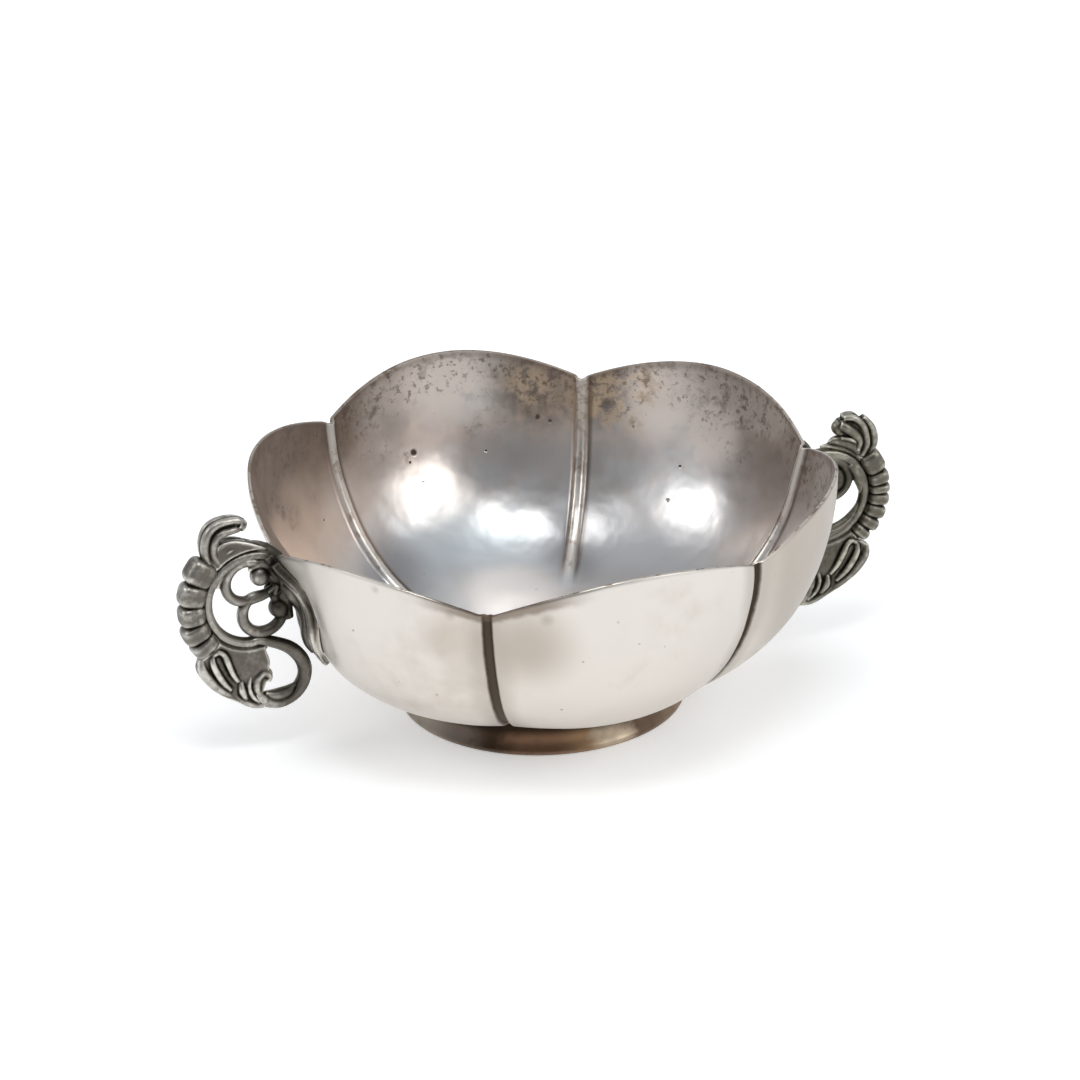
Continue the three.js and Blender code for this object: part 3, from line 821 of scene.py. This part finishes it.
# Wires, ridges and plates that are cast as one
casting, size = open_tree("cast_strokes", {"flange": 0.0})
bare_edge = add_node(casting, "GeometryNodeInputMeshEdgeNeighbors").work("LESS_THAN", 0.5)
chains = add_node(casting, "GeometryNodeMeshToCurve",
                  {"Mesh": size["Geometry"], "Selection": bare_edge})
drawn = stroke_mesh(casting, chains, named(casting, "thickness"), size["flange"])
plates = add_node(casting, "GeometryNodeSeparateGeometry",
                  {"Geometry": size["Geometry"]}, domain="FACE")


def joined(*pieces):
    together = pieces[0].socket.id_data.nodes.new("GeometryNodeJoinGeometry")
    for piece in pieces:
        feed(piece, together.inputs[0])
    return Term(together.outputs[0])


# A petal of the crest is a plump flat cushion: a ball with its axes drawn out towards a box
ball = add_node(casting, "GeometryNodeMeshUVSphere",
                {"Segments": 40, "Rings": 28, "Radius": 1.0})
plump = {"X": (0.58, 1.0), "Y": (0.66, 0.66), "Z": (0.54, 1.0)}    # power, half size
on_ball = split(add_node(casting, "GeometryNodeInputPosition"))
cushion = moved_to(ball, vector_of(casting, **{
    axis: (value.work("ABSOLUTE") ** power) * value.work("SIGN") * half_size
    for (axis, (power, half_size)), value in zip(plump.items(), on_ball)}))
loose = add_node(casting, "GeometryNodeInputMeshVertexNeighbors").work("LESS_THAN", 0.5)
turn = vector_of(casting, Y=named(casting, "lump_turn") * -1)
is_petal = named(casting, "petal")
lumps = [
    add_node(casting, "GeometryNodeInstanceOnPoints", {
        "Points": size["Geometry"], "Selection": loose * which, "Instance": shape,
        "Rotation": turn, "Scale": named(casting, "lump_size", "FLOAT_VECTOR")})
    for shape, which in ((ball, 1 - is_petal), (cushion, is_petal))
]
all_lumps = add_node(casting, "GeometryNodeRealizeInstances", {"Geometry": joined(*lumps)})
hand_out(joined(drawn, plates, all_lumps))

# After the melt: the skin is softened, and "worn" says how far it stands out (mm) from the
# metal round it, which is where hands have polished it
skin_tree, size = open_tree("cast_skin", {"softening": 2, "spread": 14})
place = add_node(skin_tree, "GeometryNodeInputPosition")
soft, broad = [
    add_node(skin_tree, "GeometryNodeBlurAttribute", {
        "Value": place, "Iterations": size[passes]}, data_type="FLOAT_VECTOR")
    for passes in ("softening", "spread")]
skin = moved_to(size["Geometry"], soft)
stands_out = (place - broad).work("DOT_PRODUCT", add_node(skin_tree, "GeometryNodeInputNormal"))
skin = stored(skin, "worn", stands_out)
skin = add_node(skin_tree, "GeometryNodeSetShadeSmooth", {"Geometry": skin})

# Black is left in the hollows and behind the curls, and what stands out is worn to grey
cast_silver, shader, here = new_metal("oxidised_cast_silver")
cast_x, cast_y, cast_z = split(here)
handle_mid = -1.65 * mm        # the handles' middle plane, near the bowl
blotch = placed(cloud_group, here, Scale=160.0, Amount=0.42, Ragged=0.5)
reach = (cast_x ** 2.0 + cast_y ** 2.0).work("SQRT")
right_handle = between(cast_x, -0.01, 0.01)
left_handle = 1 - right_handle
# Painted shade: the right handle is darker all over
worn = painted(cast_silver, "worn") + (blotch - 0.5) * 0.03 - right_handle * 0.008
dark_to_light = between(worn, -0.08, 0.11 + right_handle * 0.015, kind="LINEAR")
# Painted shade with some oxide: darker beside the strap, at its top, and near the bowl on the left
by_the_strap = fading(reach, 0.0625, 0.0675) * between(cast_z, 0.022, 0.030)
by_the_strap = by_the_strap * fading((cast_y - handle_mid).work("ABSOLUTE"), 0.0026, 0.0036)
strap_top = fading(reach, 0.0635, 0.0665) * between(cast_z, 0.038, 0.043) * left_handle
strap_shade_and_oxide = most(by_the_strap, strap_top, fading(reach, 0.0615, 0.0650) * left_handle * 0.45)
inside_curl = fading((here - (70.4 * mm, handle_mid, 40.0 * mm)).work("LENGTH"), 0.0034, 0.0054)
dark_to_light = dark_to_light * (1 - strap_shade_and_oxide * 0.62) * (1 - inside_curl * 0.5)
# Painted highlights: two light patches on the front of the left strap
for spot, long in (((-58.5, -4.6, 37.2), 2.6), ((-54.2, -5.2, 25.4), 2.8)):
    off = ((here - tuple(value * mm for value in spot)) * (1.0, 1.0, 0.45)).work("LENGTH")
    strap_highlight = fading(off + (blotch - 0.5) * (0.8 * mm), long * 0.45 * mm, long * mm)
    dark_to_light = dark_to_light + strap_highlight * 0.32
metal = mixed(between(dark_to_light, 0.0, 0.45), (0.012, 0.010, 0.007), (0.15, 0.135, 0.115))
metal = mixed(between(dark_to_light, 0.40, 0.95), metal, (0.72, 0.69, 0.63))
# Painted shade: the right handle darker and more olive
metal = mixed(right_handle * 0.6, metal, metal * (0.80, 0.80, 0.70))
feed(metal, shader.inputs["Base Color"])
feed(0.42 - between(dark_to_light, 0.4, 1.0) * 0.12, shader.inputs["Roughness"])
shader.inputs["Metallic"].default_value = 1.0
roughened(shader, noise(here, 1500.0, 3.0) * (0.04 * mm))
close_tree(skin, cast_silver)

melt = 0.16              # mm, the size of the melt's cells
ring_radius, ring_outside = 10.4, 12.0

# S-scroll. A cast bar that makes three quarters of the ring, then the loop below it and the curl
# inside the loop. Its back is soldered to the strap.
scroll_line = (
    [(-6.4, 8.4)] + arc((0, 0), ring_radius, 112, -98, 14)
    + [(-5.9, -12.2), (-8.5, -13.9), (-10.6, -16.5), (-11.5, -19.4), (-10.9, -22.3),
       (-8.8, -24.8), (-5.6, -26.1), (-2.7, -25.5), (-0.6, -23.5), (0.0, -21.0), (-0.7, -18.7),
       (-2.2, -17.9), (-3.2, -19.0), (-2.8, -20.3)]
)
scroll = [
    (scroll_line, (1.35, 1.35, 1.35, 1.3, 1.3, 1.25, 1.6, 1.75, 1.5, 1.05, 0.8)),
    ([(-9.4, -22.8), (-7.2, -24.1), (-4.2, -24.3), (-2.0, -23.6)], (0.7, 1.4, 1.4, 0.8)),
]

# Double volute. Two cast curls inside the ring, each ending in a ball, with a few small leaves on
# their stalk, soldered in at the ring's back. On the right a thin web joins them to the ring too.
volutes = [
    ([(7.7, 3.9), (7.3, 5.2), (6.2, 6.6), (4.6, 7.8)], (0.55, 0.7, 0.8, 0.8)),
    (arc((1.3, 4.0), 5.0, 150, -95, 12, 4.4) + [(-2.2, 0.1), (-4.4, 1.0), (-6.6, 1.6)],
     (1.1, 1.25, 1.2, 1.1)),
    ([(-5.6, 1.2), (-3.6, 0.5)] + arc((-2.3, -3.8), 4.6, 62, -165, 10, 4.8) + [(-7.6, -6.2)],
     (0.9, 1.3, 1.35, 1.2)),
    ([(0.4, 6.4), (-0.6, 7.6), (-2.4, 8.0), (-4.2, 7.4)], (0.4, 1.0, 1.4, 1.6)),
    ([(-2.0, 5.0), (-3.4, 6.6), (-4.2, 7.2)], (1.1, 1.0, 1.0)),
    ([(-6.0, -3.3), (-5.4, -1.2), (-4.8, 0.6)], (1.1, 1.1, 1.1)),
    ([(-3.9, 9.9), (-5.1, 7.4), (-6.0, 4.4), (-6.7, 1.0), (-7.6, -2.6), (-8.3, -6.4)],
     (1.6, 2.1, 2.0, 1.7, 1.5, 1.1)),
    ([(-3.4, 1.1), (-5.2, 2.6), (-4.9, 0.8), (-6.6, 1.3)],
     (0.35, 0.5, 0.5, 0.3), (1.2, 1.7, 1.6, 1.3)),
    ([(-5.4, 5.9), (-6.4, 3.6), (-6.2, 2.0)], (0.35, 0.5, 0.3), (1.6, 1.8, 1.4)),
]
balls = [((x, 0, z), (2.2, 2.3, 2.3), 0.0, False) for x, z in ((-2.0, 5.0), (-6.0, -3.4))]
web_right = [
    ([(5.6, 7.8), (7.6, 5.8), (9.0, 3.4), (10.1, 0.4)], (1.4, 1.6, 1.3, 0.8)),
    ([(1.6, 6.4), (3.4, 5.2), (3.8, 3.2), (3.0, 1.8)], (0.9, 1.3, 1.3, 1.0)),
    (arc((0, 0), 8.9, -80, -8, 9, 10.0), (1.1, 1.1, 1.0, 0.7)),
]

# Plume. The curled leaf on top of the ring, cast with folded edges and soldered on at its root.
# The right one came out fatter.
plumes = {
    "left": [
        ([(7.9, 9.0), (9.4, 12.3), (9.5, 15.2), (8.5, 17.2), (6.7, 18.4), (4.4, 18.7), (2.6, 18.2)],
         (1.6, 1.5, 1.4, 1.2, 1.1)),
        ([(9.3, 9.4), (10.3, 12.6), (10.4, 15.4), (9.6, 17.7), (8.0, 19.1), (5.6, 19.65),
          (3.0, 19.4), (1.1, 18.3)],
         (0.85, 1.05, 0.95, 0.85, 0.75), (0.6, 1.0, 0.9, 0.5)),
        ([(7.3, 9.4), (8.6, 12.4), (8.6, 14.9), (7.8, 16.4), (6.2, 17.2), (4.2, 17.4), (2.4, 17.4)],
         (0.85, 1.05, 0.95, 0.8), (0.7, 1.2, 1.1, 0.6)),
        ([(2.4, 18.4), (1.1, 17.4)], (1.35, 1.15), (0.3, 0.2)),
    ],
    "right": [
        ([(8.0, 9.2), (8.7, 12.2), (7.7, 15.0), (5.7, 16.9), (3.4, 17.3)],
         (1.5, 1.9, 2.1, 2.0, 1.6)),
        ([(9.4, 9.6), (10.6, 12.2), (10.5, 14.6), (9.5, 16.9), (7.5, 18.9)],
         (0.85, 1.0, 0.95, 0.6), (0.5, 0.9, 0.8, 0.4)),
        ([(8.2, 10.0), (8.8, 12.8), (8.1, 15.4), (6.9, 17.6), (4.9, 19.0), (2.6, 18.8)],
         (0.7, 0.85, 0.85, 0.7), (1.1, 1.7, 1.4, 0.7)),
        ([(7.0, 11.2), (7.0, 13.6), (5.6, 15.4), (3.4, 16.8), (1.8, 17.4)],
         (0.6, 0.9, 1.2, 1.1), (1.2, 1.6, 1.5, 0.8)),
        ([(2.6, 17.4), (2.0, 16.4), (3.0, 15.4)], (1.3, 1.6, 1.2)),
    ],
}

# Plume sheath. The small cast leaf between plume and ring, soldered along the top of the ring.
# The left one runs on over the back of the ring towards the bowl.
sheaths = {
    "left": [
        (arc((0, 0), ring_outside + 0.2, 110, 44, 9), (0.9, 0.9, 0.9)),
        ([(9.0, 9.4), (8.6, 11.8), (7.8, 13.3), (6.2, 14.3), (3.8, 14.6), (1.4, 14.0)],
         (0.5, 0.65, 0.7, 0.45), (0.5, 0.9, 1.0, 0.6)),
        ([(6.9, 11.4), (5.0, 12.8), (2.4, 13.2)], (0.35, 0.5, 0.3), (1.0, 1.25, 1.0)),
        ([(1.6, 13.2), (-1.4, 12.3), (-4.0, 10.6), (-6.4, 8.2)], (0.9, 1.2, 1.5, 1.6)),
    ],
    "right": [
        (arc((0, 0), ring_outside + 0.1, 99, 44, 9), (0.3, 0.9, 0.9, 0.9)),
        ([(8.2, 10.0), (6.6, 11.8), (4.2, 13.0), (1.6, 13.3), (0.0, 12.8)],
         (1.3, 1.5, 1.5, 1.1, 0.3)),
        ([(7.4, 12.2), (5.2, 13.8), (2.6, 14.2)], (0.4, 0.55, 0.4), (0.9, 1.2, 0.9)),
    ],
}

# Acanthus leaf. The cast leaf below the ring, with its lobes curled over one another, soldered on
# behind the loop.
acanthus = [
    (arc((0, 0), ring_outside + 0.2, -104, -40, 9), (0.8, 0.9, 0.9)),
    ([(9.9, -11.6), (8.6, -10.9), (7.4, -11.7), (6.6, -13.8), (5.6, -16.6), (4.3, -18.9)],
     (0.55, 0.65, 0.8, 0.5), (0.9, 1.2, 1.5, 0.9)),
    ([(9.9, -11.6), (10.0, -13.4), (9.1, -15.8), (7.7, -18.4), (6.0, -20.6)],
     (0.55, 0.8, 0.8, 0.5), (0.9, 1.5, 1.4, 0.9)),
    ([(12.4, -12.4), (12.2, -14.8), (10.4, -17.8), (8.0, -20.4), (5.6, -22.4)],
     (0.8, 1.2, 1.1, 0.7), (0.4, 0.8, 0.7, 0.4)),
    ([(3.7, -19.0), (3.6, -21.2), (2.6, -23.6)], (0.5, 0.8, 0.5), (0.9, 1.3, 0.8)),
    ([(1.4, -18.4), (1.9, -20.6), (1.2, -23.0), (-0.4, -25.0)], (0.4, 0.6, 0.45), (0.8, 1.2, 0.8)),
    ([(6.0, -21.4), (3.4, -23.8), (0.8, -25.4), (-1.8, -26.0)], (0.7, 0.9, 0.7), (0.3, 0.6, 0.4)),
    ([(-2.2, -13.4), (-2.8, -15.6), (-2.6, -17.6)], (0.5, 0.5, 0.4), (0.5, 0.6, 0.5)),
    ([(-0.4, -23.4), (0.1, -21.2), (-0.4, -19.2), (-1.8, -18.3), (-3.0, -19.2), (-2.6, -20.3)],
     (0.8, 1.0, 1.0, 0.9, 0.8, 0.7), (0.6,)),
]


# Petal crest. A row of plump petals on a low band, cast in one and soldered to the outside of
# the ring.
petal_root = 0.4         # mm that a petal goes into the ring
petal_depth = 4.3        # mm out to its faces, before the cushion is flattened
petal_belly = 0.70       # of its length, where it fills the room between its seams


def crest_of(seams, lengths):
    """The petals' lumps, from seam to seam round the ring."""
    crest = []
    for begin, finish, length in zip(seams, seams[1:], lengths):
        middle = math.radians((begin + finish) / 2)
        reach = ring_outside + length / 2 - petal_root
        half_width = (ring_outside + length * petal_belly) * math.radians(begin - finish) / 2
        crest.append((
            (reach * math.cos(middle), 0, reach * math.sin(middle)),
            (length / 2 + petal_root, petal_depth, half_width), middle, True))
    return crest


far_out = 40             # mm, outside every casting


def front_of(tree, y, z):
    """How far out a surface reaches there (mm), or None where there is none."""
    hit = tree.ray_cast((far_out, y, z), (-1, 0, 0))[0]
    return None if hit is None else hit.x


room_cell, room_half_width, room_bottom, room_top, room_back = 0.4, 8, -30, 16, -22.0    # mm
strap_hold = 0.2         # mm that a casting goes into the strap
strap_spread = 1.22      # the strap is that much broader than its solid
fold_ends, spine_ends = (3.0, 3.0), (1.5, 2.5)    # mm from the strap's top and from its foot
fold_swell = (0.2, 0.8, 1.0, 0.3)
spine_rise = 0.3         # mm off the strap

for side, handle in handles.items():
    out, up = handle["ring centre"]
    place = (
        Matrix.Rotation(math.radians(handle["turn"]), 4, "Z")
        @ Matrix.Translation((out * mm, 0, up * mm))
        @ Matrix.Rotation(math.radians(handle["tilt"]), 4, "Y")
        @ Matrix.Scale(mm, 4)
    )
    wall = bmesh.new()
    wall.from_mesh(bowl.data)
    bmesh.ops.transform(wall, matrix=place.inverted(), verts=wall.verts)
    strap_shape = node_shape(f"{side}_mount_strap", place)
    wall_tree, strap_tree = BVHTree.FromBMesh(wall), BVHTree.FromBMesh(strap_shape)

    # The bowl's room: what of a casting would stand inside the wall is cut away along it
    across = np.arange(-room_half_width, room_half_width + 0.01, room_cell)
    upward = np.arange(room_bottom, room_top + 0.01, room_cell)
    shallowest = room_back + 1
    room_points = []
    for z in upward:
        for y in across:
            fronts = [shallowest]
            for tree, sunk in ((wall_tree, 0.0), (strap_tree, strap_hold)):
                front = front_of(tree, y, z)
                if front is not None and front > shallowest:
                    fronts.append(front - sunk)
            room_points.append((max(fronts), y, z))
    many = len(room_points)
    room_points += [(room_back, y, z) for _, y, z in room_points]
    wide = len(across)
    room_faces = []
    for row in range(len(upward) - 1):
        for column in range(wide - 1):
            a = row * wide + column
            room_faces.append((a, a + 1, a + 1 + wide, a + wide))
            room_faces.append((a + many, a + wide + many, a + 1 + wide + many, a + 1 + many))
    edge = (
        list(range(wide)) + [row * wide + wide - 1 for row in range(1, len(upward))]
        + list(range(many - 2, many - wide - 1, -1))
        + [row * wide for row in range(len(upward) - 2, 0, -1)])
    for a, b in zip(edge, edge[1:] + edge[:1]):
        room_faces.append((b, a, a + many, b + many))
    wall_room = put("wall_room", mesh_of("wall_room", room_points, faces=room_faces))

    # Mount strap. A leaf-shaped plate bent over the channel and soldered to the bowl, with a
    # spine, two edge folds and a pair of long leaflets on its front. Folds and leaflets lie at a
    # share of the strap's half breadth.
    heights = [corner.co.z for corner in strap_shape.verts]
    low, high = min(heights), max(heights)
    strap_strokes = []
    for offset, radius in ((-0.5, 0.95), (0.5, 0.95), (-0.82, 0.9), (0.82, 0.9)):
        line = []
        for z in np.linspace(high - fold_ends[0], low + fold_ends[1], 14):
            half = max(
                (y for y in np.arange(0, 6, 0.1) if front_of(strap_tree, y, z) is not None), default=0)
            x = front_of(strap_tree, offset * half, z)
            if x is not None:
                line.append((x, offset * half * strap_spread, z))
        strap_strokes.append((line, [radius * share for share in fold_swell]))
    spine = [
        (front_of(strap_tree, 0, z) + spine_rise, 0, z)
        for z in np.linspace(high - spine_ends[0], low + spine_ends[1], 10)]
    strap_strokes.append((spine, (0.5, 1.9, 2.6, 1.7, 1.0, 1.4, 0.4)))

    # Of each piece: its strokes, its lumps, the breadth of its plate beside its solid's (None
    # where it has no plate), the flange of its strokes, and whether the bowl's room is cut out
    seams = handle["seams"]
    pieces = {
        "main_scroll": (scroll, (), None, 0.6, True),
        "double_volute": (volutes + web_right * (side == "right"), balls, None, 0.0, True),
        "petal_crest": (
            [(arc((0, 0), ring_outside + 1.2, seams[0], seams[-1] - 3, 16), (1.6,))],
            crest_of(seams, handle["petals"]), None, 0.0, False),
        "plume": (plumes[side], (), None, 0.0, False),
        "plume_sheath": (sheaths[side], (), 0.75 if side == "left" else None, 0.0, True),
        "acanthus_leaf": (acanthus, (), 0.42, 0.0, False),
        "mount_strap": (strap_strokes, (), strap_spread, 0.0, False),
    }
    for piece_name, (strokes, lumps, breadth, flange, cut) in pieces.items():
        node = f"{side}_{piece_name}"
        plate = node_shape(node, place) if breadth else None
        base = casting_base(node, strokes, lumps, plate, breadth)
        steps = [(casting, {"flange": flange}), melt] + [wall_room] * cut + [(skin_tree, {})]
        piece = grown(node + "_casting", base, steps, cast_silver, place)
        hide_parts(node)
        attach(piece, "root")
    bpy.data.objects.remove(wall_room)
